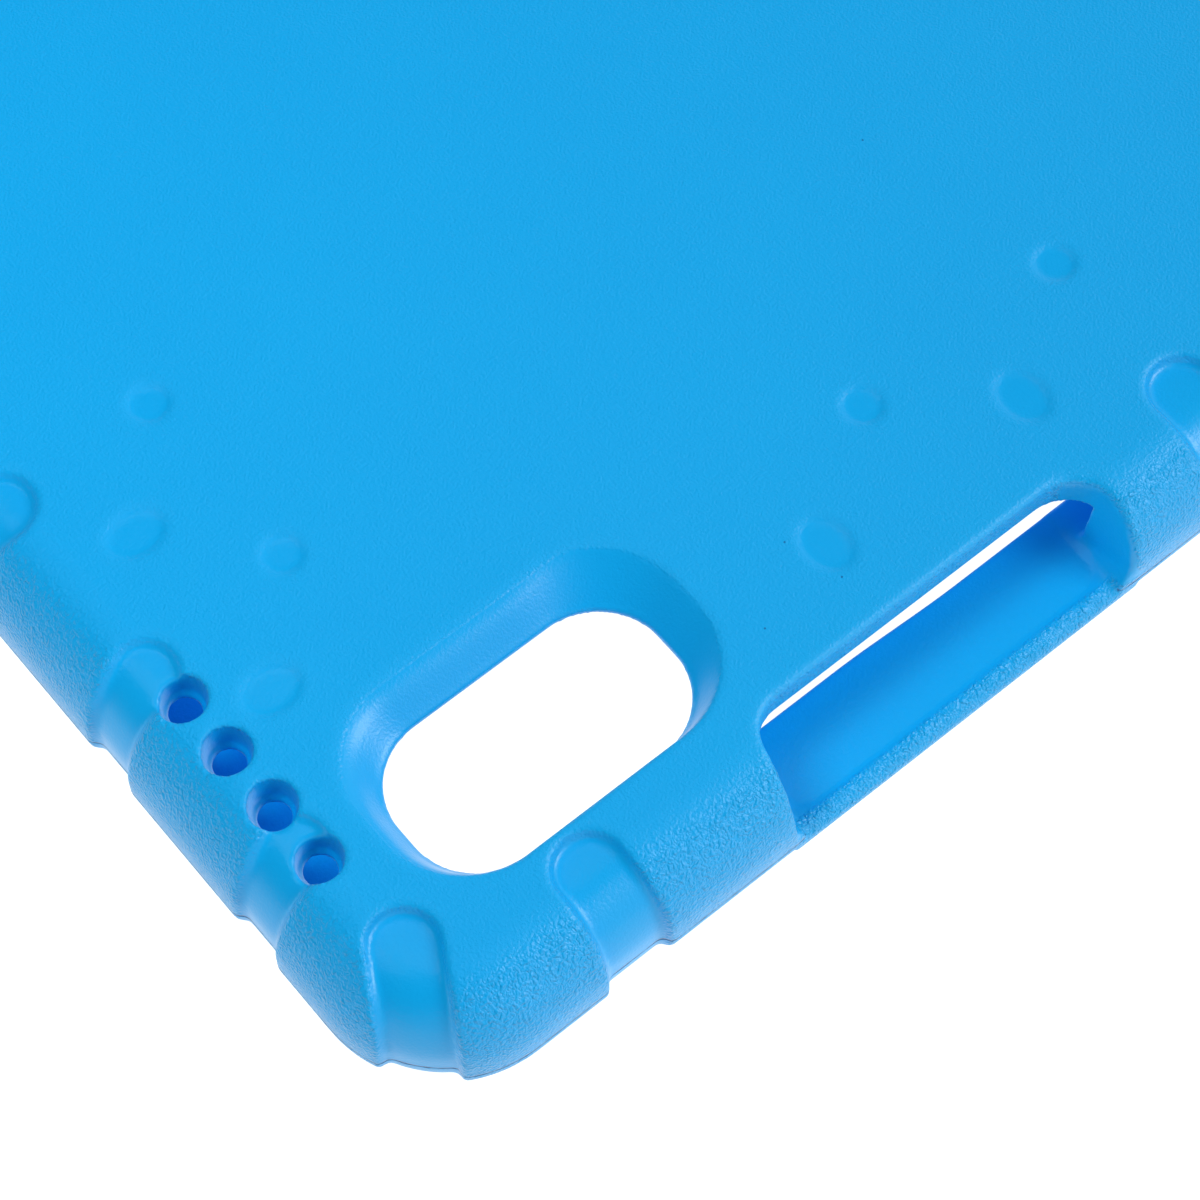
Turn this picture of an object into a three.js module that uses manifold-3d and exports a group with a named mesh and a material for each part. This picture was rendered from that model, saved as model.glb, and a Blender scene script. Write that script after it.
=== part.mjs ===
// Kids tablet case: one moulded foam shell that a tablet is pressed into from the front.
// Millimetres, +Z up. The case lies on its front rim with its back up, centred on the origin.
// +X runs along the long side. The camera opening is at the -X, -Y corner.

import * as THREE from 'three';
import { ConvexGeometry } from 'three/addons/geometries/ConvexGeometry.js';
import { mergeVertices } from 'three/addons/utils/BufferGeometryUtils.js';
import Module from 'manifold-3d';

// The tablet that the pocket fits
const tablet_length = 250.6;
const tablet_width = 171.5;
const tablet_thickness = 7.5;
const tablet_corner = 9;

// The shell round it
const wall = 9;
const back_panel = 5;
const front_lip = 5;
const lip_overlap = 5.4;
const screen_corner = 4;
const shoulder_reach = 10.5;
const shoulder_drop = 11;
const front_round = 4;

// Camera opening and the shallow dish round it, from the tablet's own corner
const camera_x = 32.1;
const camera_y = 19.3;
const camera_length = 41.2;
const camera_width = 22.9;
const camera_corner = 9.4;
const dish_corner_side = 4;
const dish_slot_side = 5.6;
const dish_far_side = 6.4;
const dish_near_side = 0.6;
const dish_corner = 13;
const dish_depth = 3.2;

// Speaker holes, a row of four at each corner of the short sides
const speaker_count = 4;
const speaker_first = 22.7;
const speaker_pitch = 9.07;
const speaker_inset = 1;
const speaker_top = 6.4;
const speaker_bottom = 4.3;
const speaker_channel = 3;

// Button slot, cut through the wall of the long side down to the front lip
const slot_start = 52.4;
const slot_length = 55.6;
const slot_inset = 4.3;
const slot_flare = 2.2;
const slot_corner = 3;
const slot_edge_round = 1.8;

// Charging port opening in the middle of the far short side
const port_width = 14;
const port_height = 6.5;

// Pill-shaped grooves that run from the back over the shoulder and down the wall
const groove_width = 9.2;
const groove_foot_short = 6.8;
const groove_lean_short = 2.4;
const groove_depth = 1.4;
const groove_inset_long = 8.2;
const groove_inset_camera = 5.6;
const groove_inset_short = 3.8;
const groove_pitch_long = 33.4;
const groove_pitch_short = 30.1;
const grooves_long = 7;
const grooves_short = 5;
const corner_groove_place = 42.5;
const corner_groove_angle = 60;
const corner_groove_reach = 17;

// Shallow dimples on the back, round and oval by turns, counted from the middle of each side
const dimples_to_middle = 4;
const dimple_depth = 0.6;
const dimple_round = 5.4;
const dimple_oval_long = 8;
const dimple_oval_wide = 6.2;
const dimple_taper = 0.8;
const dimple_step_long = 16.6;
const dimple_step_short = 14;
const round_inset_long = 27.7;
const oval_inset_long = 15.7;
const oval_inset_last = 8;
const oval_place_last = 15.2;
const round_inset_short = 22.4;
const oval_inset_short = 10;

// How finely arcs are divided, and how far a cutter runs past what it cuts
const corner_steps = 6;
const shoulder_steps = 7;
const round_sides = 18;
const pill_steps = 5;
const past = 2;

const case_length = tablet_length + 2 * wall;
const case_width = tablet_width + 2 * wall;
const case_corner = tablet_corner + wall;
const parting = front_lip;
const pocket_top = front_lip + tablet_thickness;
const case_height = pocket_top + back_panel;
const tablet_end = tablet_length / 2;
const tablet_side = tablet_width / 2;

const wasm = await Module();
wasm.setup();

// A closed geometry becomes a solid that can be joined and cut
function solid(geometry) {
  const bare = geometry.clone();
  bare.deleteAttribute('normal');
  bare.deleteAttribute('uv');
  const merged = mergeVertices(bare, 1e-4);
  const vertProperties = new Float32Array(merged.attributes.position.array);
  const triVerts = new Uint32Array(merged.index.array);
  return new wasm.Manifold(new wasm.Mesh({ numProp: 3, vertProperties, triVerts }));
}

function union(solids) {
  return solids.reduce((whole, next) => whole.add(next));
}

function box(x0, x1, y0, y1, z0, z1) {
  const geometry = new THREE.BoxGeometry(x1 - x0, y1 - y0, z1 - z0);
  geometry.translate((x0 + x1) / 2, (y0 + y1) / 2, (z0 + z1) / 2);
  return solid(geometry);
}

// A rectangle with round corners, centred on (x, y)
function roundedRectangle(length, width, radius, x = 0, y = 0) {
  const a = length / 2 - radius;
  const b = width / 2 - radius;
  const shape = new THREE.Shape();
  shape.moveTo(x + length / 2, y - b);
  shape.lineTo(x + length / 2, y + b);
  shape.absarc(x + a, y + b, radius, 0, Math.PI / 2, false);
  shape.absarc(x - a, y + b, radius, Math.PI / 2, Math.PI, false);
  shape.absarc(x - a, y - b, radius, Math.PI, Math.PI * 1.5, false);
  shape.absarc(x + a, y - b, radius, Math.PI * 1.5, Math.PI * 2, false);
  return shape;
}

function prism(shape, z0, z1, steps = corner_steps) {
  const geometry = new THREE.ExtrudeGeometry(shape, {
    depth: z1 - z0,
    bevelEnabled: false,
    curveSegments: steps,
  });
  geometry.translate(0, 0, z0);
  return solid(geometry);
}

// A slab whose rim is rounded above and below its straight wall, from z0 to z1
function roundedSlab(outline, z0, z1, reach, drop) {
  const geometry = new THREE.ExtrudeGeometry(outline, {
    depth: z1 - z0,
    bevelEnabled: true,
    bevelThickness: drop,
    bevelSize: reach,
    bevelOffset: -reach,
    bevelSegments: shoulder_steps,
    curveSegments: corner_steps,
  });
  geometry.translate(0, 0, z0);
  return solid(geometry);
}

// The outer body, or the same body with its back and wall set in by the grooves' depth
function body(inset) {
  const outline = roundedRectangle(case_length - 2 * inset, case_width - 2 * inset, case_corner - inset);
  const wide = case_length;
  const shoulder_foot = case_height - shoulder_drop;
  const back = roundedSlab(outline, parting, shoulder_foot, shoulder_reach - inset, shoulder_drop - inset);
  const front = roundedSlab(outline, front_round, parting, front_round - inset, front_round);
  const above = box(-wide, wide, -wide, wide, parting, case_height + past);
  const below = box(-wide, wide, -wide, wide, -past, parting);
  return back.intersect(above).add(front.intersect(below));
}

// The solid between two convex outlines at two heights
function taperedPlug(lower, z0, upper, z1) {
  const points = [
    ...lower.getPoints(corner_steps).map((p) => new THREE.Vector3(p.x, p.y, z0)),
    ...upper.getPoints(corner_steps).map((p) => new THREE.Vector3(p.x, p.y, z1)),
  ];
  return solid(new ConvexGeometry(points));
}

function pocket() {
  const tablet = roundedRectangle(tablet_length, tablet_width, tablet_corner);
  const screen = roundedRectangle(
    tablet_length - 2 * lip_overlap,
    tablet_width - 2 * lip_overlap,
    screen_corner,
  );
  return prism(tablet, front_lip, pocket_top).add(prism(screen, -past, front_lip + past));
}

function cameraOpening() {
  const x = camera_x - tablet_end;
  const y = camera_y - tablet_side;
  const dish_length = camera_length + dish_corner_side + dish_slot_side;
  const dish_width = camera_width + dish_far_side + dish_near_side;
  const dish_x = x + (dish_slot_side - dish_corner_side) / 2;
  const dish_y = y + (dish_far_side - dish_near_side) / 2;
  const hole = roundedRectangle(camera_length, camera_width, camera_corner, x, y);
  const dish = roundedRectangle(dish_length, dish_width, dish_corner, dish_x, dish_y);
  const through = prism(hole, pocket_top - past, case_height + past);
  return through.add(taperedPlug(hole, case_height - dish_depth, dish, case_height));
}

// One row of tapered holes, with the channel in the pocket wall that they open into
function speakerRow(side_x, side_y) {
  const x = side_x * (tablet_end - speaker_inset);
  const run = (speaker_count - 1) * speaker_pitch;
  const holes = [];
  for (let i = 0; i < speaker_count; i++) {
    const y = side_y * (tablet_side - speaker_first - i * speaker_pitch);
    const slope = (speaker_top - speaker_bottom) / 2 / back_panel;
    const height = back_panel + past;
    const top = speaker_top / 2 + slope * past;
    const hole = new THREE.CylinderGeometry(top, speaker_bottom / 2, height, round_sides);
    hole.rotateX(Math.PI / 2);
    hole.translate(x, y, pocket_top + height / 2);
    holes.push(solid(hole));
  }
  const y0 = side_y * (tablet_side - speaker_first + speaker_pitch / 2);
  const y1 = side_y * (tablet_side - speaker_first - run - speaker_pitch / 2);
  const x0 = side_x * (tablet_end - past);
  const x1 = side_x * (tablet_end + speaker_channel);
  holes.push(
    box(Math.min(x0, x1), Math.max(x0, x1), Math.min(y0, y1), Math.max(y0, y1), front_lip, pocket_top),
  );
  return union(holes);
}

// A section drawn in Y and Z and pushed out along Z turns to run along X from x
function alongX(x) {
  return new THREE.Matrix4().set(0, 0, 1, x, 1, 0, 0, 0, 0, 1, 0, 0, 0, 0, 0, 1);
}

function buttonSlot() {
  const x0 = slot_start - tablet_end;
  const x1 = x0 + slot_length;
  const back = slot_inset - tablet_side;
  const rim = -tablet_side - wall;
  const outside = rim - past;
  const r = slot_corner;
  // The end beside the camera opening flares outwards
  const flared = x0 - slot_flare * (1 + past / wall);
  const outline = new THREE.Shape();
  outline.moveTo(flared, outside);
  outline.lineTo(x1, outside);
  outline.lineTo(x1, back - r);
  outline.absarc(x1 - r, back - r, r, 0, Math.PI / 2, false);
  outline.absarc(x0 + r, back - r, r, Math.PI / 2, Math.PI, false);
  const cut = prism(outline, front_lip, case_height + past);
  // The lip's outer edge is rounded over along the slot
  const edge = new THREE.Shape();
  edge.moveTo(rim - past, front_lip + past);
  edge.lineTo(rim - past, front_lip - slot_edge_round - past);
  edge.lineTo(rim, front_lip - slot_edge_round);
  edge.absarc(rim + slot_edge_round, front_lip - slot_edge_round, slot_edge_round, Math.PI, Math.PI / 2, true);
  edge.lineTo(rim + slot_edge_round, front_lip + past);
  const strip = new THREE.ExtrudeGeometry(edge, {
    depth: slot_length + slot_flare,
    bevelEnabled: false,
    curveSegments: pill_steps,
  });
  strip.applyMatrix4(alongX(x0 - slot_flare));
  return cut.add(solid(strip));
}

function portOpening() {
  const middle = front_lip + tablet_thickness / 2;
  const outline = roundedRectangle(port_width, port_height, port_height / 2, 0, middle);
  const port = new THREE.ExtrudeGeometry(outline, {
    depth: wall + 2 * past,
    bevelEnabled: false,
    curveSegments: pill_steps,
  });
  port.applyMatrix4(alongX(tablet_end - past));
  return solid(port);
}

// A pill that points outwards along an angle, with the end of its round nose at (x, y).
// Its foot can be narrower than its nose, and can lean to one side.
function pill(x, y, angle, run, foot = groove_width, lean = 0) {
  const r = groove_width / 2;
  const shape = new THREE.Shape();
  shape.moveTo(run, lean - foot / 2);
  shape.lineTo(run, lean + foot / 2);
  shape.lineTo(r, r);
  shape.absarc(r, 0, r, Math.PI / 2, Math.PI * 1.5, false);
  const geometry = new THREE.ExtrudeGeometry(shape, {
    depth: case_height + 2 * past,
    bevelEnabled: false,
    curveSegments: pill_steps,
  });
  geometry.rotateZ(angle);
  geometry.translate(x, y, -past);
  return solid(geometry);
}

function grooves() {
  const pills = [];
  const half = Math.PI / 2;
  const slot_x0 = slot_start - tablet_end - groove_width / 2;
  const slot_x1 = slot_x0 + slot_length + groove_width;
  for (let i = 0; i < grooves_long; i++) {
    const x = (i - (grooves_long - 1) / 2) * groove_pitch_long;
    pills.push(pill(x, tablet_side - groove_inset_long, half, groove_inset_long + wall + past));
    // Beside the camera opening the nose is drawn back, and the slot takes the place of two
    const inset = x < slot_x0 ? groove_inset_camera : groove_inset_long;
    if (x < slot_x0 || x > slot_x1) {
      pills.push(pill(x, inset - tablet_side, -half, inset + wall + past));
    }
  }
  for (let i = 0; i < grooves_short; i++) {
    const y = (i - (grooves_short - 1) / 2) * groove_pitch_short;
    const x = tablet_end - groove_inset_short;
    const run = groove_inset_short + wall + past;
    // Those on either side of the middle one lean towards the corners
    const lean = Math.sign(y) * groove_lean_short;
    pills.push(pill(x, y, 0, run, groove_foot_short, lean));
    pills.push(pill(-x, y, Math.PI, run, groove_foot_short, -lean));
  }
  // One more crosses the arc of each corner
  const place = THREE.MathUtils.degToRad(corner_groove_place);
  const turn = THREE.MathUtils.degToRad(corner_groove_angle);
  const foot_x = case_length / 2 - case_corner * (1 - Math.cos(place));
  const foot_y = case_width / 2 - case_corner * (1 - Math.sin(place));
  for (const side_x of [-1, 1]) {
    for (const side_y of [-1, 1]) {
      const angle = Math.atan2(side_y * Math.sin(turn), side_x * Math.cos(turn));
      const x = side_x * foot_x - corner_groove_reach * Math.cos(angle);
      const y = side_y * foot_y - corner_groove_reach * Math.sin(angle);
      pills.push(pill(x, y, angle, corner_groove_reach + wall));
    }
  }
  return union(pills).subtract(body(groove_depth));
}

// A shallow round or oval recess, its longer axis along X or turned to lie along Y
function dimple(x, y, long, wide, turned) {
  const cut = new THREE.CylinderGeometry(0.5, 0.5, 1, round_sides);
  cut.rotateX(Math.PI / 2);
  const height = dimple_depth + past;
  const p = cut.attributes.position;
  for (let i = 0; i < p.count; i++) {
    const grow = p.getZ(i) > 0 ? (dimple_taper * past) / dimple_depth : -dimple_taper;
    p.setXYZ(i, p.getX(i) * (long + grow), p.getY(i) * (wide + grow), p.getZ(i) * height);
  }
  if (turned) {
    cut.rotateZ(Math.PI / 2);
  }
  cut.translate(x, y, case_height - dimple_depth + height / 2);
  return solid(cut);
}

function dimples() {
  const found = [];
  // The row beside the camera opening comes again at the opposite corner, by a half turn
  const place = (x, y, oval, turned) => {
    const long = oval ? dimple_oval_long : dimple_round;
    const wide = oval ? dimple_oval_wide : dimple_round;
    found.push(dimple(x, y, long, wide, turned));
    found.push(dimple(-x, -y, long, wide, turned));
  };
  for (let i = 0; i < dimples_to_middle; i++) {
    const oval = i % 2 === 1;
    const inset_long = oval ? oval_inset_long : round_inset_long;
    const inset_short = oval ? oval_inset_short : round_inset_short;
    place(-i * dimple_step_long, inset_long - tablet_side, oval, true);
    place(inset_short - tablet_end, -i * dimple_step_short, oval, false);
  }
  place(oval_place_last, oval_inset_last - tablet_side, true, true);
  return union(found);
}

function caseShell() {
  let shell = body(0);
  shell = shell.subtract(pocket());
  shell = shell.subtract(grooves());
  shell = shell.subtract(dimples());
  shell = shell.subtract(cameraOpening());
  for (const side_x of [-1, 1]) {
    for (const side_y of [-1, 1]) {
      shell = shell.subtract(speakerRow(side_x, side_y));
    }
  }
  shell = shell.subtract(buttonSlot());
  shell = shell.subtract(portOpening());
  return shell;
}

const foam = new THREE.MeshStandardMaterial({ color: 0x20a4ea, roughness: 0.75, metalness: 0 });

function mesh(name, shape, material) {
  const result = shape.getMesh();
  const geometry = new THREE.BufferGeometry();
  geometry.setAttribute('position', new THREE.BufferAttribute(result.vertProperties, 3));
  geometry.setIndex(new THREE.BufferAttribute(result.triVerts, 1));
  geometry.computeVertexNormals();
  const piece = new THREE.Mesh(geometry, material);
  piece.name = name;
  return piece;
}

const object = new THREE.Group();
object.add(mesh('case_shell', caseShell(), foam));

export default object;
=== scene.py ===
# %% [markdown]
# # A moulded foam tablet case
#
# The object is a kids tablet case, injection moulded in one shot from EVA foam. It lies on its
# front rim with its back up, and the camera looks down at the corner with the camera opening.
# Everything that makes the look is in two things: the soft shape, where no edge of the mould comes
# out quite sharp, and the skin of the foam, which is matte and grained.

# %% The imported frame
import math

import bmesh
import bpy
import numpy as np
from mathutils import Matrix, Vector


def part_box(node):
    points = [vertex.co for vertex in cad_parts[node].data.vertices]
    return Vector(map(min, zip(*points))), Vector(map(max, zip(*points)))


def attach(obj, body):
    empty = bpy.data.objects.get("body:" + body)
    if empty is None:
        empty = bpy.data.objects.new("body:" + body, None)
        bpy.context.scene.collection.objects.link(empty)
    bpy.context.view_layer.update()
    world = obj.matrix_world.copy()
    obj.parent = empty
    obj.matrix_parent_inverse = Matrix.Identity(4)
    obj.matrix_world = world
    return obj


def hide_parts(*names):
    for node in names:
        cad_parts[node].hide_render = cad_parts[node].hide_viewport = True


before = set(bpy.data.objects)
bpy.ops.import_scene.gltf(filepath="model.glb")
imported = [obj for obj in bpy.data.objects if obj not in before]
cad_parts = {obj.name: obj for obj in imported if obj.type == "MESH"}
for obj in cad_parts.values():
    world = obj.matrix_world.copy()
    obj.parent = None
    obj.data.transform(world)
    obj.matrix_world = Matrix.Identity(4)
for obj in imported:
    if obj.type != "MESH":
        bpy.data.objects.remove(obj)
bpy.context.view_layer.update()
MM = 0.001
low, high = (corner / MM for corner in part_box("case_shell"))
print("case", [round(side, 2) for side in high - low], "mm")

# %% [markdown]
# ## The camera
#
# The photograph is a close view of one corner, so its perspective matters. A camera can be placed
# by eye, but here it was worked out from the vanishing points of the case's sides: it looks down
# at 63.5 degrees from less than half a metre. It is stated by the point it aims at on the back,
# its distance from that point and its two angles, because those can be changed one at a time.

# %% The camera
AIM = Vector((-76.55, -58.15, high.z))
DISTANCE = 444.9
ELEVATION = math.radians(63.5)
HEADING = math.radians(39.61)
LENS = 108
SENSOR = 36

ahead = Vector((math.sin(HEADING), math.cos(HEADING), 0))
look = ahead * math.cos(ELEVATION) - Vector((0, 0, 1)) * math.sin(ELEVATION)
camera = bpy.data.objects.new("camera", bpy.data.cameras.new("camera"))
camera.data.lens = LENS
camera.data.sensor_width = SENSOR
camera.data.clip_start = 0.01
camera.location = (AIM - look * DISTANCE) * MM
camera.rotation_mode = "QUATERNION"
camera.rotation_quaternion = look.to_track_quat("-Z", "Y")
bpy.context.scene.collection.objects.link(camera)
bpy.context.scene.camera = camera
print("camera at", [round(c, 4) for c in camera.location])

# %% [markdown]
# ## The body before anything is cut
#
# The outside of the case is a slab with round corners, a deep shoulder round its back and a small
# round at its front. It could be lofted from sections, but a block with three bevels is the same
# shape in four lines, and each radius stays a number that can be changed. The shoulder is a little
# deeper than it is wide. A bevel is always as deep as wide, so the block is made flatter first and
# stretched back after the bevel.

# %% The body
TABLET_LENGTH = 250.6
TABLET_WIDTH = 171.5
TABLET_CORNER = 9
WALL = (high.x - low.x - TABLET_LENGTH) / 2
FRONT_LIP = 5
TABLET_THICKNESS = 7.5
POCKET_TOP = FRONT_LIP + TABLET_THICKNESS
LIP_OVERLAP = 5.4
SCREEN_CORNER = 4
SHOULDER_REACH = 10.5
SHOULDER_DROP = 11
FRONT_ROUND = 4
PAST = 2
TABLET_END = TABLET_LENGTH / 2
TABLET_SIDE = TABLET_WIDTH / 2


def block(x0, x1, y0, y1, z0, z1, corner=0.0, segments=16):
    """A box in millimetres whose upright edges are rounded."""
    bm = bmesh.new()
    bmesh.ops.create_cube(bm, size=1)
    bmesh.ops.scale(bm, vec=(x1 - x0, y1 - y0, z1 - z0), verts=bm.verts)
    bmesh.ops.translate(bm, vec=((x0 + x1) / 2, (y0 + y1) / 2, (z0 + z1) / 2), verts=bm.verts)
    if corner:
        upright = [e for e in bm.edges if abs(e.verts[0].co.z - e.verts[1].co.z) > 0.01]
        round_edges(bm, upright, corner, segments)
    return bm


def round_edges(bm, edges, radius, segments):
    """Bevels edges to a quarter circle."""
    bmesh.ops.bevel(
        bm,
        geom=edges,
        offset=radius,
        offset_type="OFFSET",
        segments=segments,
        profile=0.5,
        affect="EDGES",
        material=-1,
        clamp_overlap=False,
    )


def rim_edges(bm, height):
    """The edges that lie at one height."""
    return [e for e in bm.edges if all(abs(v.co.z - height) < 0.01 for v in e.verts)]


body = block(low.x, high.x, low.y, high.y, low.z, high.z, TABLET_CORNER + WALL, 24)
stretch = SHOULDER_DROP / SHOULDER_REACH
bmesh.ops.scale(body, vec=(1, 1, 1 / stretch), verts=body.verts)
round_edges(body, rim_edges(body, high.z / stretch), SHOULDER_REACH, 20)
bmesh.ops.scale(body, vec=(1, 1, stretch), verts=body.verts)
round_edges(body, rim_edges(body, 0), FRONT_ROUND, 8)
print("body", len(body.faces), "faces")

# %% [markdown]
# ## From a bevelled block to a skin that can be sculpted
#
# The block's long faces have no points in them to move, and grooves that run over a shoulder are
# awkward to model by hand. A voxel remesh lays an even net of small squares over the shape. It
# would blunt a sharp edge, but the body has none yet. Then each groove is only a matter of how deep
# every point sinks.

# %% Helpers that turn a bmesh into an object and apply modifiers
FINE = 1.0
SKIN_SQUARE = 0.5


def piece_from(bm, name):
    """Makes an object of a closed bmesh, with its faces pointing outwards."""
    bmesh.ops.recalc_face_normals(bm, faces=bm.faces)
    mesh = bpy.data.meshes.new(name)
    bm.to_mesh(mesh)
    bm.free()
    piece = bpy.data.objects.new(name, mesh)
    bpy.context.scene.collection.objects.link(piece)
    return piece


def modify(piece, kind, **settings):
    """Adds one modifier with its settings."""
    modifier = piece.modifiers.new(kind.lower(), kind)
    for key, value in settings.items():
        setattr(modifier, key, value)
    return modifier


def apply_modifiers(piece):
    """Replaces the piece's mesh with what its modifiers make of it."""
    graph = bpy.context.evaluated_depsgraph_get()
    made = bpy.data.meshes.new_from_object(piece.evaluated_get(graph))
    old = piece.data
    piece.modifiers.clear()
    piece.data = made
    bpy.data.meshes.remove(old)
    print(piece.name, len(made.vertices), "points", len(made.polygons), "faces")


def points_of(piece):
    """The piece's points and normals as two arrays with a row for each point."""
    count = len(piece.data.vertices)
    places = np.empty(count * 3, dtype=np.float32)
    normals = np.empty(count * 3, dtype=np.float32)
    piece.data.vertices.foreach_get("co", places)
    piece.data.vertex_normals.foreach_get("vector", normals)
    return places.reshape(-1, 3), normals.reshape(-1, 3)


shell = piece_from(body, "foam_shell")
modify(shell, "REMESH", mode="VOXEL", voxel_size=SKIN_SQUARE * FINE)
apply_modifiers(shell)

# %% [markdown]
# ## Grooves, dimples and the dish round the camera
#
# On the mould these are low ridges and pads. In the foam they come out as hollows with soft sides:
# each groove is a pill in plan that runs from the back over the shoulder and down the wall. Every
# point sinks along its own normal by a depth that depends only on how far inside the outline it
# lies, so the hollow keeps its depth over the curve of the shoulder.

# %% Outlines in plan, measured inwards
GROOVE_WIDTH = 9.2
GROOVE_DEPTH = 1.4
GROOVE_DEPTH_SHORT = 1.15
GROOVE_SLOPE = 0.85
GROOVE_SLOPE_SHORT = 1.3
GROOVE_FOOT_SHORT = 6.8
GROOVE_LEAN_SHORT = 2.4
GROOVE_INSET_LONG = 8.2
GROOVE_INSET_CAMERA = 5.6
GROOVE_INSET_SHORT = 3.8
GROOVE_PITCH_LONG = 33.4
GROOVE_PITCH_SHORT = 30.1
GROOVES_LONG = 7
GROOVES_SHORT = 5
CORNER_GROOVE_PLACE = math.radians(42.5)
CORNER_GROOVE_ANGLE = math.radians(60)
CORNER_GROOVE_REACH = 17
SLOT_START = 52.4
SLOT_LENGTH = 55.6
SLOT_INSET = 4.3
SLOT_FLARE = 2.2
SLOT_X0 = SLOT_START - TABLET_END
SLOT_X1 = SLOT_X0 + SLOT_LENGTH


def pill_depth(x, y, tip_x, tip_y, angle, run, foot=GROOVE_WIDTH, lean=0.0):
    """How far inside a pill each point lies. The pill runs outwards from the tip of its nose."""
    r = GROOVE_WIDTH / 2
    along = (x - tip_x) * math.cos(angle) + (y - tip_y) * math.sin(angle)
    across = (y - tip_y) * math.cos(angle) - (x - tip_x) * math.sin(angle)
    past_nose = np.clip((along - r) / (run - r), 0, 1)
    half = r + (foot / 2 - r) * past_nose
    return half - np.hypot(np.minimum(along - r, 0), across - lean * past_nose)


def rounded_depth(x, y, middle, length, width, corner):
    """How far inside a rounded rectangle each point lies, and below zero outside it."""
    dx = np.abs(x - middle[0]) - (length / 2 - corner)
    dy = np.abs(y - middle[1]) - (width / 2 - corner)
    outside = np.hypot(np.maximum(dx, 0), np.maximum(dy, 0))
    return corner - outside - np.minimum(np.maximum(dx, dy), 0)


def soft_step(value, width):
    """Rises smoothly from 0 to 1 over a width centred on zero."""
    t = np.clip(value / width + 0.5, 0, 1)
    return t * t * (3 - 2 * t)


# %% The grooves
def groove_places():
    """Tip, direction, run, foot and lean of every groove."""
    places = []
    for i in range(GROOVES_LONG):
        x = (i - (GROOVES_LONG - 1) / 2) * GROOVE_PITCH_LONG
        run = GROOVE_INSET_LONG + WALL + PAST
        places.append((x, TABLET_SIDE - GROOVE_INSET_LONG, math.pi / 2, run, GROOVE_WIDTH, 0))
        beside_camera = x < SLOT_X0
        inset = GROOVE_INSET_CAMERA if beside_camera else GROOVE_INSET_LONG
        if beside_camera or x > SLOT_X1 + GROOVE_WIDTH / 2:
            run = inset + WALL + PAST
            places.append((x, inset - TABLET_SIDE, -math.pi / 2, run, GROOVE_WIDTH, 0))
    for i in range(GROOVES_SHORT):
        y = (i - (GROOVES_SHORT - 1) / 2) * GROOVE_PITCH_SHORT
        lean = np.sign(y) * GROOVE_LEAN_SHORT
        x = TABLET_END - GROOVE_INSET_SHORT
        run = GROOVE_INSET_SHORT + WALL + PAST
        places.append((x, y, 0, run, GROOVE_FOOT_SHORT, lean))
        places.append((-x, y, math.pi, run, GROOVE_FOOT_SHORT, -lean))
    corner = TABLET_CORNER + WALL
    foot_x = high.x - corner * (1 - math.cos(CORNER_GROOVE_PLACE))
    foot_y = high.y - corner * (1 - math.sin(CORNER_GROOVE_PLACE))
    for side_x in (-1, 1):
        for side_y in (-1, 1):
            rise = side_y * math.sin(CORNER_GROOVE_ANGLE)
            angle = math.atan2(rise, side_x * math.cos(CORNER_GROOVE_ANGLE))
            x = side_x * foot_x - CORNER_GROOVE_REACH * math.cos(angle)
            y = side_y * foot_y - CORNER_GROOVE_REACH * math.sin(angle)
            places.append((x, y, angle, CORNER_GROOVE_REACH + WALL, GROOVE_WIDTH, 0))
    return places


def groove_share(x, y, depth=1.0, depth_short=1.0):
    """The depth on a groove's floor, 0 outside, and between on its sides."""
    share = np.zeros_like(x)
    for place in groove_places():
        short = place[4] < GROOVE_WIDTH
        slope = GROOVE_SLOPE_SHORT if short else GROOVE_SLOPE
        step = soft_step(pill_depth(x, y, *place), slope)
        share = np.maximum(share, step * (depth_short if short else depth))
    return share


# %% The dimples
DIMPLES_TO_MIDDLE = 4
DIMPLE_DEPTH = 0.35
DIMPLE_SLOPE = 1.4
DIMPLE_ROUND = 5.4
DIMPLE_OVAL_LONG = 8
DIMPLE_OVAL_WIDE = 6.2
DIMPLE_STEP_LONG = 16.6
DIMPLE_STEP_SHORT = 14
ROUND_INSET_LONG = 27.7
OVAL_INSET_LONG = 15.7
OVAL_INSET_LAST = 8
OVAL_PLACE_LAST = 15.2
ROUND_INSET_SHORT = 22.4
OVAL_INSET_SHORT = 10


def dimple_places():
    """Middle and size along X and Y of every dimple; each comes again by a half turn."""
    places = [(OVAL_PLACE_LAST, OVAL_INSET_LAST - TABLET_SIDE, DIMPLE_OVAL_WIDE, DIMPLE_OVAL_LONG)]
    for i in range(DIMPLES_TO_MIDDLE):
        oval = i % 2 == 1
        long_side = OVAL_INSET_LONG if oval else ROUND_INSET_LONG
        short_side = OVAL_INSET_SHORT if oval else ROUND_INSET_SHORT
        long = DIMPLE_OVAL_LONG if oval else DIMPLE_ROUND
        wide = DIMPLE_OVAL_WIDE if oval else DIMPLE_ROUND
        places.append((-i * DIMPLE_STEP_LONG, long_side - TABLET_SIDE, wide, long))
        places.append((short_side - TABLET_END, -i * DIMPLE_STEP_SHORT, long, wide))
    return places + [(-x, -y, along_x, along_y) for x, y, along_x, along_y in places]


def dimple_share(x, y):
    """1 on a dimple's floor and 0 outside."""
    share = np.zeros_like(x)
    for middle_x, middle_y, along_x, along_y in dimple_places():
        ratio = np.hypot((x - middle_x) / along_x, (y - middle_y) / along_y) * 2
        inside = (1 - ratio) * min(along_x, along_y) / 2
        share = np.maximum(share, soft_step(inside, DIMPLE_SLOPE))
    return share


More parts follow.
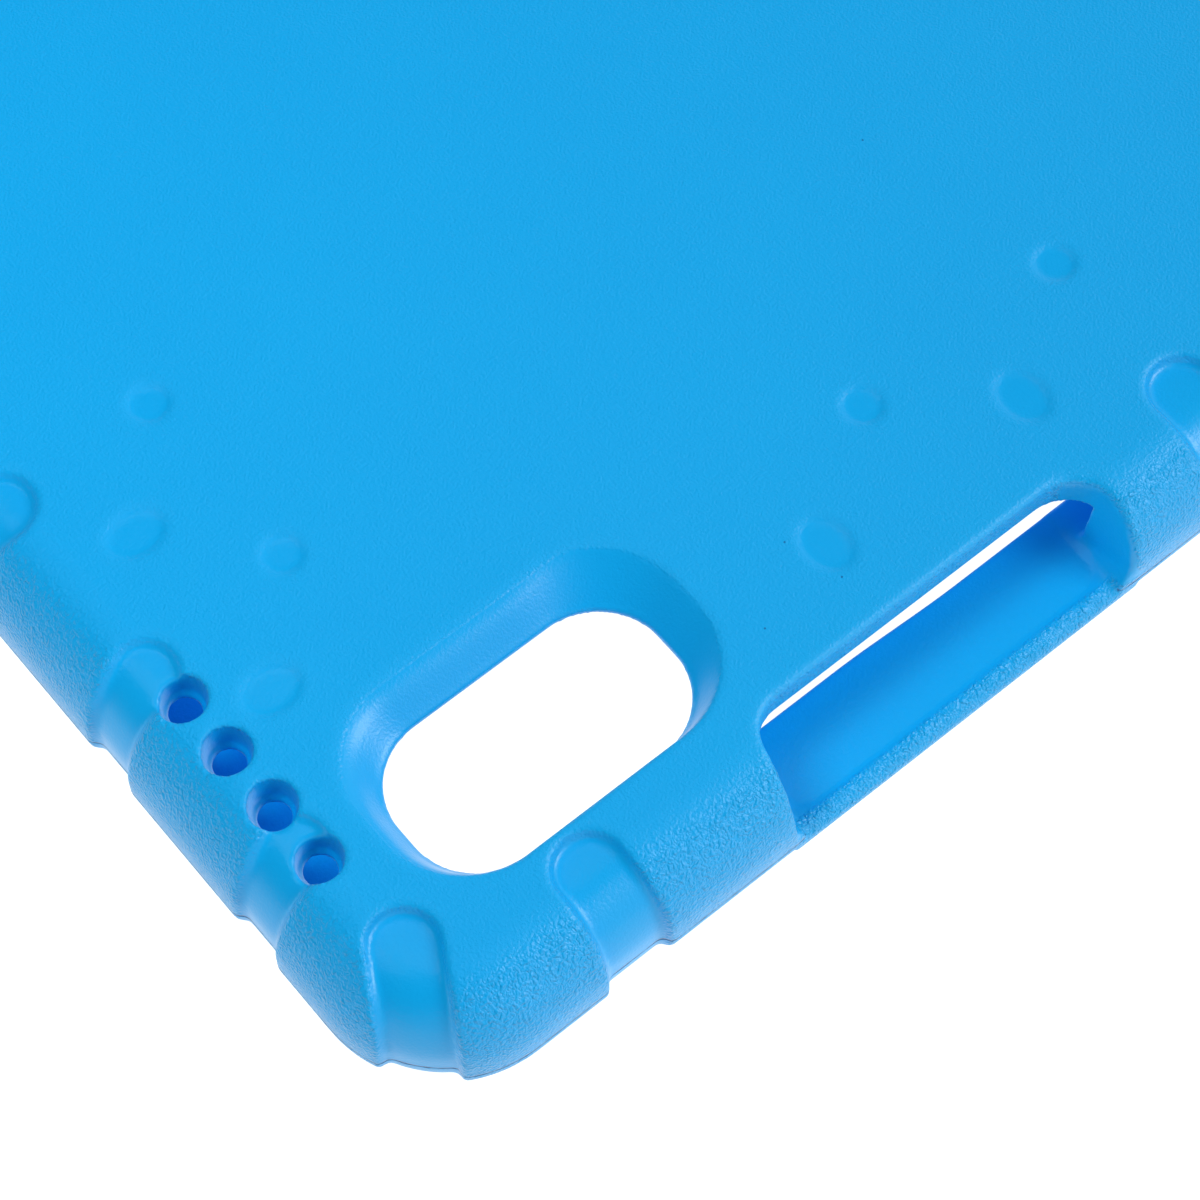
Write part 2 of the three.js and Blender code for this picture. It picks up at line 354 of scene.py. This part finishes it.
# %% The dish
CAMERA_MIDDLE = (32.1 - TABLET_END, 19.3 - TABLET_SIDE)
CAMERA_LENGTH = 41.2
CAMERA_WIDTH = 22.9
CAMERA_CORNER = 9.4
DISH_CORNER_SIDE = 4
DISH_SLOT_SIDE = 5.6
DISH_FAR_SIDE = 6.4
DISH_NEAR_SIDE = 0.9
DISH_CORNER = 13
DISH_DEPTH = 3.9
DISH_EDGE_SOFT = 0.6
DISH_EDGE_CRISP = 0.15


def dish_share(x, y):
    """Slopes from 0 at the dish's outline to 1 at the opening, with a softened edge."""
    middle = (
        CAMERA_MIDDLE[0] + (DISH_SLOT_SIDE - DISH_CORNER_SIDE) / 2,
        CAMERA_MIDDLE[1] + (DISH_FAR_SIDE - DISH_NEAR_SIDE) / 2,
    )
    length = CAMERA_LENGTH + DISH_CORNER_SIDE + DISH_SLOT_SIDE
    width = CAMERA_WIDTH + DISH_FAR_SIDE + DISH_NEAR_SIDE
    inside = rounded_depth(x, y, middle, length, width, DISH_CORNER)
    to_hole = -rounded_depth(x, y, CAMERA_MIDDLE, CAMERA_LENGTH, CAMERA_WIDTH, CAMERA_CORNER)
    inside = np.maximum(inside, 0)
    share = inside / np.maximum(inside + np.maximum(to_hole, 0), 0.01)
    crisp = soft_step(x - CAMERA_MIDDLE[0] - CAMERA_LENGTH / 3, CAMERA_LENGTH / 3)
    edge = DISH_EDGE_SOFT + (DISH_EDGE_CRISP - DISH_EDGE_SOFT) * crisp
    return np.where(share < edge, share**2 / (2 * edge), share - edge / 2) / (1 - edge / 2)


# %% Sinking the points
places, normals = points_of(shell)
x, y = places[:, 0], places[:, 1]
sink = groove_share(x, y, GROOVE_DEPTH, GROOVE_DEPTH_SHORT)
on_back = places[:, 2] > high.z - 1
sink = np.maximum(sink, on_back * DIMPLE_DEPTH * dimple_share(x, y))
sink = np.maximum(sink, on_back * DISH_DEPTH * dish_share(x, y))
inwards = normals.copy()
inwards[:, 2] = np.maximum(inwards[:, 2], 0)
places -= inwards * sink[:, None]
shell.data.vertices.foreach_set("co", places.ravel())
shell.data.update()
print("deepest", round(float(sink.max()), 2), "mm")

# %% [markdown]
# ## Openings
#
# The pocket, the screen opening, the camera opening, the button slot, the port and the sound holes
# go right through a wall. Each is cut with a solid of its own, as a mould's core would leave it.
# The sound holes taper, because the pins that leave them must pull out, and stand on a narrow ledge
# where a thinner pin meets the pocket. A second remesh then makes one even skin of all the cuts.

# %% Cutting solids
SPEAKER_COUNT = 4
SPEAKER_FIRST = 22.7
SPEAKER_PITCH = 9.07
SPEAKER_INSET = 1
SPEAKER_TOP = 6.4
SPEAKER_BOTTOM = 4.3
SPEAKER_CHANNEL = 3
SPEAKER_LEDGE = 0.5
SPEAKER_LEDGE_HEIGHT = 0.9
SLOT_TRAY = 0.3
SLOT_TRAY_SHORTER = 3
SLOT_TRAY_CORNER = 3.5
SLOT_STRIP = 2.4
SHRINK = 0.3
SLOT_CORNER = 4.5
SLOT_CORNER_FAR = 6.5
SLOT_LEAN = 0.14
SLOT_FILLET = 3.5
PORT_WIDTH = 14
PORT_HEIGHT = 6.5
PORT_ROUNDNESS = 0.98
CUT_SQUARE = 0.42


def pocket_cutter():
    return block(
        -TABLET_END, TABLET_END, -TABLET_SIDE, TABLET_SIDE, FRONT_LIP, POCKET_TOP, TABLET_CORNER
    )


def screen_cutter():
    end, side = TABLET_END - LIP_OVERLAP, TABLET_SIDE - LIP_OVERLAP
    return block(-end, end, -side, side, -PAST, FRONT_LIP + PAST, SCREEN_CORNER)


def camera_cutter():
    x, y = CAMERA_MIDDLE
    end, side = CAMERA_LENGTH / 2 - SHRINK / 2, CAMERA_WIDTH / 2 - SHRINK
    corner = CAMERA_CORNER + SHRINK
    return block(x - end, x + end, y - side, y + side, POCKET_TOP - PAST, high.z + PAST, corner)


def port_cutter():
    middle = FRONT_LIP + TABLET_THICKNESS / 2
    half, side = PORT_HEIGHT / 2, PORT_WIDTH / 2
    bm = block(TABLET_END - PAST, high.x + PAST, -side, side, middle - half, middle + half)
    lengthways = [e for e in bm.edges if abs(e.verts[0].co.x - e.verts[1].co.x) > 0.01]
    round_edges(bm, lengthways, half * PORT_ROUNDNESS, 8)
    return bm


def speaker_cutters():
    """The sound holes at all four corners in three solids: recess, pin hole and channel."""
    recesses, pin_holes, channels = bmesh.new(), bmesh.new(), bmesh.new()
    ledge = POCKET_TOP + SPEAKER_LEDGE_HEIGHT
    slope = (SPEAKER_TOP - SPEAKER_BOTTOM) / 2 / (high.z - POCKET_TOP)
    run = SPEAKER_COUNT * SPEAKER_PITCH
    for side_x in (-1, 1):
        for side_y in (-1, 1):
            x = side_x * (TABLET_END - SPEAKER_INSET)
            for i in range(SPEAKER_COUNT):
                y = side_y * (TABLET_SIDE - SPEAKER_FIRST - i * SPEAKER_PITCH)
                tip = SPEAKER_BOTTOM / 2 + SPEAKER_LEDGE
                mouth = SPEAKER_TOP / 2 + slope * PAST
                tapered_pin(recesses, x, y, ledge, high.z + PAST, tip, mouth)
                tip = SPEAKER_BOTTOM / 2
                tapered_pin(pin_holes, x, y, POCKET_TOP - PAST, high.z, tip, tip)
            cube = bmesh.ops.create_cube(channels, size=1)["verts"]
            size = (SPEAKER_CHANNEL + PAST, run, TABLET_THICKNESS)
            bmesh.ops.scale(channels, vec=size, verts=cube)
            middle = (
                side_x * (TABLET_END + (SPEAKER_CHANNEL - PAST) / 2),
                side_y * (TABLET_SIDE - SPEAKER_FIRST + SPEAKER_PITCH / 2 - run / 2),
                FRONT_LIP + TABLET_THICKNESS / 2,
            )
            bmesh.ops.translate(channels, vec=middle, verts=cube)
    return recesses, pin_holes, channels


def tapered_pin(bm, x, y, z0, z1, radius0, radius1):
    """Adds an upright pin between two heights to a bmesh."""
    pin = bmesh.ops.create_cone(
        bm, cap_ends=True, segments=40, radius1=radius0, radius2=radius1, depth=z1 - z0
    )
    bmesh.ops.translate(bm, vec=(x, y, (z0 + z1) / 2), verts=pin["verts"])


def slot_cutter():
    """The slot's plan pushed up from the lip, with soft inner corners."""
    bm = bmesh.new()
    outside = low.y - PAST
    back = SLOT_INSET - TABLET_SIDE - SHRINK
    flared = SLOT_X0 - SLOT_FLARE * (1 + PAST / WALL)
    outline = [(flared, outside), (SLOT_X1, outside), (SLOT_X1, back), (SLOT_X0, back)]
    floor = bm.faces.new([bm.verts.new((x, y, FRONT_LIP)) for x, y in outline])
    raised = bmesh.ops.extrude_face_region(bm, geom=[floor])["geom"]
    top = [v for v in raised if isinstance(v, bmesh.types.BMVert)]
    bmesh.ops.translate(bm, vec=(0, 0, high.z + PAST - FRONT_LIP), verts=top)
    for end, corner in ((SLOT_X0, SLOT_CORNER), (SLOT_X1, SLOT_CORNER_FAR)):
        at_end = [v for v in bm.verts if math.hypot(v.co.x - end, v.co.y - back) < 0.01]
        upright = [e for e in bm.edges if all(v in at_end for v in e.verts)]
        round_edges(bm, upright, corner, 8)
    for v in bm.verts:
        if v.co.x > SLOT_X1 - SLOT_CORNER_FAR - 0.01:
            v.co.x -= SLOT_LEAN * (high.z - v.co.z)
    ends = [e for e in rim_edges(bm, FRONT_LIP) if abs(e.verts[0].co.y - e.verts[1].co.y) > 4]
    round_edges(bm, ends, SLOT_FILLET, 8)
    return bm


def slot_tray_cutter():
    """The slot's floor lies a little lower behind a strip along its outer edge."""
    far, floor = SLOT_X1 - SLOT_TRAY_SHORTER, FRONT_LIP - SLOT_TRAY
    back = LIP_OVERLAP - TABLET_SIDE + PAST
    outer = low.y + SLOT_STRIP
    return block(SLOT_X0, far, outer, back, floor, FRONT_LIP + PAST, SLOT_TRAY_CORNER)


# %% Cutting
recesses, pin_holes, channels = speaker_cutters()
cutters = {
    "pocket": pocket_cutter(),
    "screen_opening": screen_cutter(),
    "camera_opening": camera_cutter(),
    "charging_port": port_cutter(),
    "sound_channels": channels,
    "sound_recesses": recesses,
    "sound_holes": pin_holes,
    "button_slot": slot_cutter(),
    "slot_tray": slot_tray_cutter(),
}
tools = [piece_from(bm, name) for name, bm in cutters.items()]
for tool in tools:
    modify(shell, "BOOLEAN", operation="DIFFERENCE", solver="MANIFOLD", object=tool)
modify(shell, "REMESH", mode="VOXEL", voxel_size=CUT_SQUARE * FINE)
apply_modifiers(shell)
for tool in tools:
    bpy.data.objects.remove(tool)

# %% [markdown]
# ## Soft edges
#
# Foam shrinks away from the mould a little, so no edge of the real case is sharp. Bevelling every
# rim by hand would need clean loops of edges, which the cuts don't leave. Instead the whole skin is
# relaxed twice, which rounds each edge by about half a millimetre, and the rims of the button slot
# many times more, most of all at its far end, because a fingertip is meant to slide into it. Before
# that two soft forms are pushed into the points: the strip outside the slot falls away, and the lip
# bows a little beside the slot's near end. After it the flat stretches need few triangles, so the
# mesh is thinned, and its shading follows the large faces, so the long thin ones don't show.

# %% How far each point is relaxed
SMALLEST_SOFTENING = 2
SLOT_SOFTENING = 36
RIM_SOFTENING = 0.3
RIM_REACH = 3
RIM_DEPTH = 1.5
FAR_END_START = 7
FAR_END_FADE = 4
WEIGHT_STEPS = 16


def back_height(x, y):
    """Height of the uncut back and shoulder over each point in plan."""
    middle = (0, 0)
    inside = rounded_depth(x, y, middle, high.x - low.x, high.y - low.y, TABLET_CORNER + WALL)
    fall = np.clip(1 - inside / SHOULDER_REACH, 0, 1)
    return high.z - SHOULDER_DROP * (1 - np.sqrt(1 - fall**2))


def slot_rim_share(places):
    """How much the slot's rims are relaxed: fully at the end away from the camera opening."""
    x, y, z = places.T
    middle_x = (SLOT_X0 + SLOT_X1) / 2
    beside = np.abs(x - middle_x) - (SLOT_X1 - SLOT_X0) / 2
    behind = y - (SLOT_INSET - TABLET_SIDE)
    away = np.abs(np.maximum(beside, behind))
    below = back_height(x, y) - z
    far_end = np.clip((x - SLOT_X1 + FAR_END_START) / FAR_END_FADE, 0, 1)
    share = RIM_SOFTENING + (1 - RIM_SOFTENING) * far_end
    return share * np.clip(1.5 - away / RIM_REACH, 0, 1) * np.clip(2 - below / RIM_DEPTH, 0, 1)


def weigh(piece, name, weights):
    """Stores a weight for each point as a vertex group, in a few steps."""
    group = piece.vertex_groups.new(name=name)
    steps = np.round(weights * WEIGHT_STEPS).astype(int)
    for step in range(1, WEIGHT_STEPS + 1):
        chosen = np.nonzero(steps == step)[0].tolist()
        if chosen:
            group.add(chosen, step / WEIGHT_STEPS, "REPLACE")


# %% The falling strip and the lip's bow
SLOT_STRIP_FALL = 1.2
STRIP_BELOW = 2
STRIP_ABOVE = 0.5
LIP_BOW = 0.63
LIP_BOW_END = -46
LIP_BOW_RUN = 20
LIP_BOW_REACH = 2.5
LIP_BOW_START = 10
LIP_BOW_FADE = 8
LIP_ABOVE = 0.3

places = points_of(shell)[0]
outside = np.clip((low.y + SLOT_STRIP - places[:, 1]) / SLOT_STRIP, 0, 1)
along_slot = (places[:, 0] > SLOT_X0 - SLOT_FLARE) & (places[:, 0] < SLOT_X1)
on_strip = along_slot & (places[:, 2] > FRONT_LIP - STRIP_BELOW)
on_strip &= places[:, 2] < FRONT_LIP + STRIP_ABOVE
places[:, 2] -= on_strip * SLOT_STRIP_FALL * outside**2
from_lip_edge = np.abs(places[:, 1] - LIP_OVERLAP + TABLET_SIDE)
bow = soft_step(LIP_BOW_END - places[:, 0], LIP_BOW_RUN)
bow *= places[:, 0] > SLOT_X0 - LIP_BOW_START
bow *= np.clip((places[:, 0] - SLOT_X0 + LIP_BOW_START) / LIP_BOW_FADE, 0, 1)
on_lip = places[:, 2] < FRONT_LIP + LIP_ABOVE
places[:, 1] += on_lip * LIP_BOW * bow * np.clip(1 - from_lip_edge / LIP_BOW_REACH, 0, 1)
shell.data.vertices.foreach_set("co", places.ravel())
shell.data.update()
print("lowered", int(on_strip.sum()), "points of the strip")

# %% Relaxing and thinning
TRIANGLES = 198000
weigh(shell, "slot_rim", slot_rim_share(places))
modify(shell, "SMOOTH", factor=0.5, iterations=SMALLEST_SOFTENING)
modify(shell, "SMOOTH", factor=0.5, iterations=SLOT_SOFTENING, vertex_group="slot_rim")
modify(shell, "DECIMATE", ratio=min(1, TRIANGLES / 2 / len(shell.data.polygons)))
apply_modifiers(shell)
shell.vertex_groups.clear()
shell.data.shade_smooth()
modify(shell, "WEIGHTED_NORMAL", mode="FACE_AREA", weight=50)
apply_modifiers(shell)

# %% [markdown]
# ## Where the skin is smooth
#
# The mould is blasted to a fine grain on the flat back and to a coarser, leathery one on the
# shoulders and walls. The floors of the grooves and dimples are polished. Each point keeps how much
# of a polished hollow it lies in, so the material can fade its grain there.

# %% Polished hollows
DEEP_IN_SLOT = 0.8
DEEP_IN_HOLE = 0.5
STRIP_SKIN = 0.6
places, normals = points_of(shell)
x, y = places[:, 0], places[:, 1]
polished = np.maximum(groove_share(x, y), dimple_share(x, y))
in_dish = dish_share(x, y) > 0.05
inner = normals[:, 2] < -0.5
below_back = back_height(x, y) - places[:, 2]
behind_edge = (y < SLOT_INSET - TABLET_SIDE - 1) | (places[:, 2] < POCKET_TOP)
off_strip = (y > low.y + SLOT_STRIP) | (places[:, 2] > FRONT_LIP + STRIP_SKIN)
in_slot = (x > SLOT_X0 - SLOT_FLARE) & (x < SLOT_X1 + 1) & (y < SLOT_INSET - TABLET_SIDE + 2)
in_slot &= (below_back > DEEP_IN_SLOT) & behind_edge & off_strip
beside = np.abs(np.abs(x) - TABLET_END + SPEAKER_INSET) < SPEAKER_TOP / 2
first = TABLET_SIDE - SPEAKER_FIRST + SPEAKER_PITCH / 2
in_row = (np.abs(y) < first) & (np.abs(y) > first - SPEAKER_COUNT * SPEAKER_PITCH)
in_hole = beside & in_row & (below_back > DEEP_IN_HOLE)
polished = np.maximum(polished, (in_dish | inner | in_slot | in_hole) * 1.0)
attribute = shell.data.attributes.new("polished", "FLOAT", "POINT")
attribute.data.foreach_set("value", polished.astype(np.float32))

shell.data.transform(Matrix.Scale(MM, 4))
box = [[f(places[:, i]) for i in range(3)] for f in (np.min, np.max)]
print("shell from", np.round(box[0], 2), "to", np.round(box[1], 2))

# %% [markdown]
# ## Moulded EVA foam
#
# EVA foam comes out of the mould with a closed skin: dyed through, matte, and with a soft pale
# sheen where it is seen at a shallow angle, because its grain stands up there. Its index of
# refraction is about 1.48. The grain could be modelled, but a photograph this close still shows it
# only as shading, so it is bump: cells of about a quarter of a millimetre on the flat back, and
# pebbles of about half a millimetre that come in over the shoulder.

# %% Colours and nodes
def colour(code):
    """An sRGB hex colour as linear RGBA."""
    parts = [int(code[i : i + 2], 16) / 255 for i in (1, 3, 5)]
    linear = [c / 12.92 if c <= 0.04045 else ((c + 0.055) / 1.055) ** 2.4 for c in parts]
    return (*linear, 1)


def add_node(tree, kind, links=(), **settings):
    """Adds a node. Settings name its properties or inputs; links are (from output, to input)."""
    node = tree.nodes.new(kind)
    for key, value in settings.items():
        if hasattr(node, key):
            setattr(node, key, value)
        else:
            node.inputs[key.replace("_", " ")].default_value = value
    for output, name in links:
        tree.links.new(output, node.inputs[name])
    return node


def math_node(tree, operation, first, second, clamp=False):
    """Arithmetic on two sockets or numbers."""
    node = add_node(tree, "ShaderNodeMath", operation=operation, use_clamp=clamp)
    for socket, value in zip(node.inputs, (first, second)):
        if isinstance(value, (int, float)):
            socket.default_value = value
        else:
            tree.links.new(value, socket)
    return node.outputs[0]


def noise(tree, place, scale, detail):
    """A noise texture's grey value at each place."""
    links = [(place, "Vector")]
    node = add_node(tree, "ShaderNodeTexNoise", links, Scale=scale, Detail=detail)
    return node.outputs["Fac"]


def map_range(tree, value, from_min, from_max, to_min, to_max, **settings):
    """Maps one range of a value to another."""
    node = add_node(tree, "ShaderNodeMapRange", [(value, "Value")], **settings)
    names = ("From Min", "From Max", "To Min", "To Max")
    for name, number in zip(names, (from_min, from_max, to_min, to_max)):
        node.inputs[name].default_value = number
    return node.outputs[0]


# %% The foam's material
NOISE_CELL = 0.7
GRAIN = 0.26
PEBBLE = 0.5
GRAIN_HEIGHT = 0.09
PEBBLE_HEIGHT = 0.65
PEBBLES_START = 0.05
PEBBLES_FULL = 1.2
PARTING_DEPTH = 0.3
PARTING_WIDTH = 0.5
PARTING_LINE = FRONT_LIP - 0.4
PARTING_RAGGED = 1.8
STEEP = 0.6
CLOUD = 30
# The size and places of a few small spots painted dark on the back
SPECK_RADIUS = 0.14
DARK_SPECKS = [(-63.4, -74.1), (-53.7, -66.6), (-51.4, -74.8), (-6.6, -28.0)]
FOAM_DEEP = "#009fe4"
FOAM_PALE = "#02a8eb"
# The deeper blue painted into the crease as shade and into the dark spots
CREASE_SHADE_AND_SPECK_COLOUR = "#0068a8"
ROUGHNESS = 0.42
POLISH = 0.1


def moulded_eva_foam():
    """The foam's skin: grain and pebbles, the parting crease, uneven dye, shade painted into the
    grain's pits and the crease, and a few spots painted dark.
    """
    material = bpy.data.materials.new("moulded_eva_foam")
    material.use_nodes = True
    tree = material.node_tree
    tree.nodes.clear()
    place = add_node(tree, "ShaderNodeTexCoord").outputs["Object"]
    hollow = add_node(tree, "ShaderNodeAttribute", attribute_name="polished").outputs["Fac"]
    height = add_node(tree, "ShaderNodeSeparateXYZ", [(place, "Vector")]).outputs["Z"]
    facing = add_node(tree, "ShaderNodeNewGeometry").outputs["Normal"]
    upward = add_node(tree, "ShaderNodeSeparateXYZ", [(facing, "Vector")]).outputs["Z"]

    grain = noise(tree, place, NOISE_CELL / (GRAIN * MM), 2.0)
    bumps = noise(tree, place, NOISE_CELL / (PEBBLE * MM), 1.0)
    pebble = math_node(tree, "ABSOLUTE", math_node(tree, "SUBTRACT", bumps, 0.5), 0)
    start, full = (high.z - PEBBLES_START) * MM, (high.z - PEBBLES_FULL) * MM
    on_shoulder = map_range(tree, height, start, full, 0.0, 1.0, clamp=True)
    rough_skin = math_node(tree, "SUBTRACT", 1, hollow)
    pebbled = math_node(tree, "MULTIPLY", on_shoulder, rough_skin)
    pebble_height = math_node(tree, "MULTIPLY", pebbled, PEBBLE_HEIGHT)
    pebbles = math_node(tree, "MULTIPLY", pebble, pebble_height)
    fine = math_node(tree, "MULTIPLY", math_node(tree, "ADD", rough_skin, 0.5), GRAIN_HEIGHT)
    grains = math_node(tree, "MULTIPLY", grain, fine)

    # The mould's two halves meet below the height of the lip, which leaves a ragged crease
    ragged = noise(tree, place, 1 / (PARTING_RAGGED * MM), 2.0)
    above_line = math_node(tree, "SUBTRACT", height, PARTING_LINE * MM)
    from_line = math_node(tree, "ABSOLUTE", above_line, 0)
    line_widths = math_node(tree, "DIVIDE", from_line, PARTING_WIDTH * MM)
    near_line = math_node(tree, "SUBTRACT", ragged, line_widths, True)
    upright = math_node(tree, "LESS_THAN", math_node(tree, "ABSOLUTE", upward, 0), STEEP)
    crease = math_node(tree, "MULTIPLY", near_line, upright)
    skin_relief = math_node(tree, "ADD", grains, pebbles)
    crease_depth = math_node(tree, "MULTIPLY", crease, PARTING_DEPTH)
    relief = math_node(tree, "SUBTRACT", skin_relief, crease_depth)
    bump = add_node(tree, "ShaderNodeBump", [(relief, "Height")], Strength=1.0, Distance=MM)

    # The dye is a little uneven over a few centimetres, and shade is painted into the grain's pits:
    # where the grain is low the colour is deeper
    cloud = noise(tree, place, 1 / (CLOUD * MM), 2.0)
    half_cloud = math_node(tree, "MULTIPLY", cloud, 0.5)
    # Painted shade: the grain's low cells deepen the colour
    painted_pit_shade = math_node(tree, "MULTIPLY", grain, 0.5)
    dye_unevenness_and_pit_shade = math_node(tree, "ADD", half_cloud, painted_pit_shade)
    dye_colour_with_pit_shade = add_node(tree, "ShaderNodeMix", [(dye_unevenness_and_pit_shade, "Factor")], data_type="RGBA")
    dye_colour_with_pit_shade.inputs[6].default_value = colour(FOAM_DEEP)
    dye_colour_with_pit_shade.inputs[7].default_value = colour(FOAM_PALE)

    # Shade is painted into the parting crease as a deeper blue, and a few small spots on the back
    # are painted in the same colour
    crease_shade_and_specks = math_node(tree, "MULTIPLY", crease, 3, True)
    for x, y in DARK_SPECKS:
        away = add_node(tree, "ShaderNodeVectorMath", [(place, 0)], operation="DISTANCE")
        away.inputs[1].default_value = (x * MM, y * MM, high.z * MM)
        speck = math_node(tree, "LESS_THAN", away.outputs["Value"], SPECK_RADIUS * MM)
        crease_shade_and_specks = math_node(tree, "MAXIMUM", crease_shade_and_specks, speck)
    skin = add_node(tree, "ShaderNodeMix", [(crease_shade_and_specks, "Factor")], data_type="RGBA")
    tree.links.new(dye_colour_with_pit_shade.outputs[2], skin.inputs[6])
    skin.inputs[7].default_value = colour(CREASE_SHADE_AND_SPECK_COLOUR)
    smoother = math_node(tree, "MULTIPLY", math_node(tree, "ADD", pebbled, hollow), POLISH)
    roughness = math_node(tree, "SUBTRACT", ROUGHNESS, smoother)
    shader = add_node(
        tree,
        "ShaderNodeBsdfPrincipled",
        [
            (skin.outputs[2], "Base Color"),
            (bump.outputs[0], "Normal"),
            (roughness, "Roughness"),
        ],
        IOR=1.48,
        Specular_IOR_Level=0.45,
        Sheen_Weight=0.12,
        Sheen_Roughness=0.3,
    )
    add_node(tree, "ShaderNodeOutputMaterial", [(shader.outputs[0], "Surface")])
    return material


shell.data.materials.clear()
shell.data.materials.append(moulded_eva_foam())
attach(shell, "root")
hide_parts("case_shell")

# %% [markdown]
# ## Light table and studio light
#
# The photograph was taken on a white surface that is as bright as the background, also where the
# case should shade it, and it throws light back on the walls. A floor that glows a little gives
# both. It lies a quarter of a millimetre under the rim, because two faces at one height flicker.
#
# The main light is a soft box from the right, well above the table. A lower one would bring out the
# pebbles more, but then the flat back glares when it is seen from the other side. A weak one lights
# the left from above without a gloss of its own, and a very weak one fills in from the top. The
# studio round them is bright low down and dark overhead, which keeps the blue of the back deep.

# %% Floor
FLOOR_GAP = 0.25
FLOOR_SIZE = 3


def plain(name, code, glow):
    """A matt material that glows a little."""
    material = bpy.data.materials.new(name)
    material.use_nodes = True
    shader = material.node_tree.nodes["Principled BSDF"]
    shader.inputs["Base Color"].default_value = colour(code)
    shader.inputs["Roughness"].default_value = 0.9
    shader.inputs["Emission Color"].default_value = colour("#ffffff")
    shader.inputs["Emission Strength"].default_value = glow
    return material


floor_mesh = bmesh.new()
bmesh.ops.create_grid(floor_mesh, x_segments=1, y_segments=1, size=FLOOR_SIZE)
floor_data = bpy.data.meshes.new("floor")
floor_mesh.to_mesh(floor_data)
floor_mesh.free()
floor = bpy.data.objects.new("floor", floor_data)
floor.location.z = -FLOOR_GAP * MM
bpy.context.scene.collection.objects.link(floor)
floor.data.materials.append(plain("white_light_table", "#888888", 1.06))

# %% Lights
def soft_light(name, direction, distance, size, power):
    """A square soft box that faces the case from a direction."""
    lamp = bpy.data.objects.new(name, bpy.data.lights.new(name, "AREA"))
    lamp.data.shape = "SQUARE"
    lamp.data.size = size
    lamp.data.energy = power
    towards = Vector(direction).normalized()
    lamp.location = AIM * MM + towards * distance
    lamp.rotation_mode = "QUATERNION"
    lamp.rotation_quaternion = (-towards).to_track_quat("-Z", "Y")
    lamp.visible_camera = False
    bpy.context.scene.collection.objects.link(lamp)
    return lamp


soft_light("right_light", (0.623, -0.515, 0.588), 1.3, 0.6, 8.8)
soft_light("top_light", (0.076, 0.212, 0.974), 0.5, 0.2, 0.13)
left_light = soft_light("left_light", (-0.385, 0.319, 0.866), 0.5, 0.2, 1.4)
left_light.visible_glossy = False

# %% Surroundings
DARK_SIDE = (-0.34, 0.28, 0.9)
BRIGHT_LOW, DARK_ABOVE = 0.68, 0.08
FALL_START, FALL_END = 0.3, 0.62
world = bpy.data.worlds.new("studio")
world.use_nodes = True
direction = add_node(world.node_tree, "ShaderNodeTexCoord").outputs["Generated"]
across = add_node(
    world.node_tree, "ShaderNodeVectorMath", [(direction, 0)], operation="DOT_PRODUCT"
)
across.inputs[1].default_value = DARK_SIDE
rise = across.outputs["Value"]
limits = (FALL_START, FALL_END, BRIGHT_LOW, DARK_ABOVE)
glow = map_range(world.node_tree, rise, *limits, interpolation_type="SMOOTHSTEP")
background = world.node_tree.nodes["Background"]
background.inputs["Color"].default_value = colour("#ffffff")
world.node_tree.links.new(glow, background.inputs["Strength"])
bpy.context.scene.world = world
bpy.context.scene.view_settings.view_transform = "Standard"
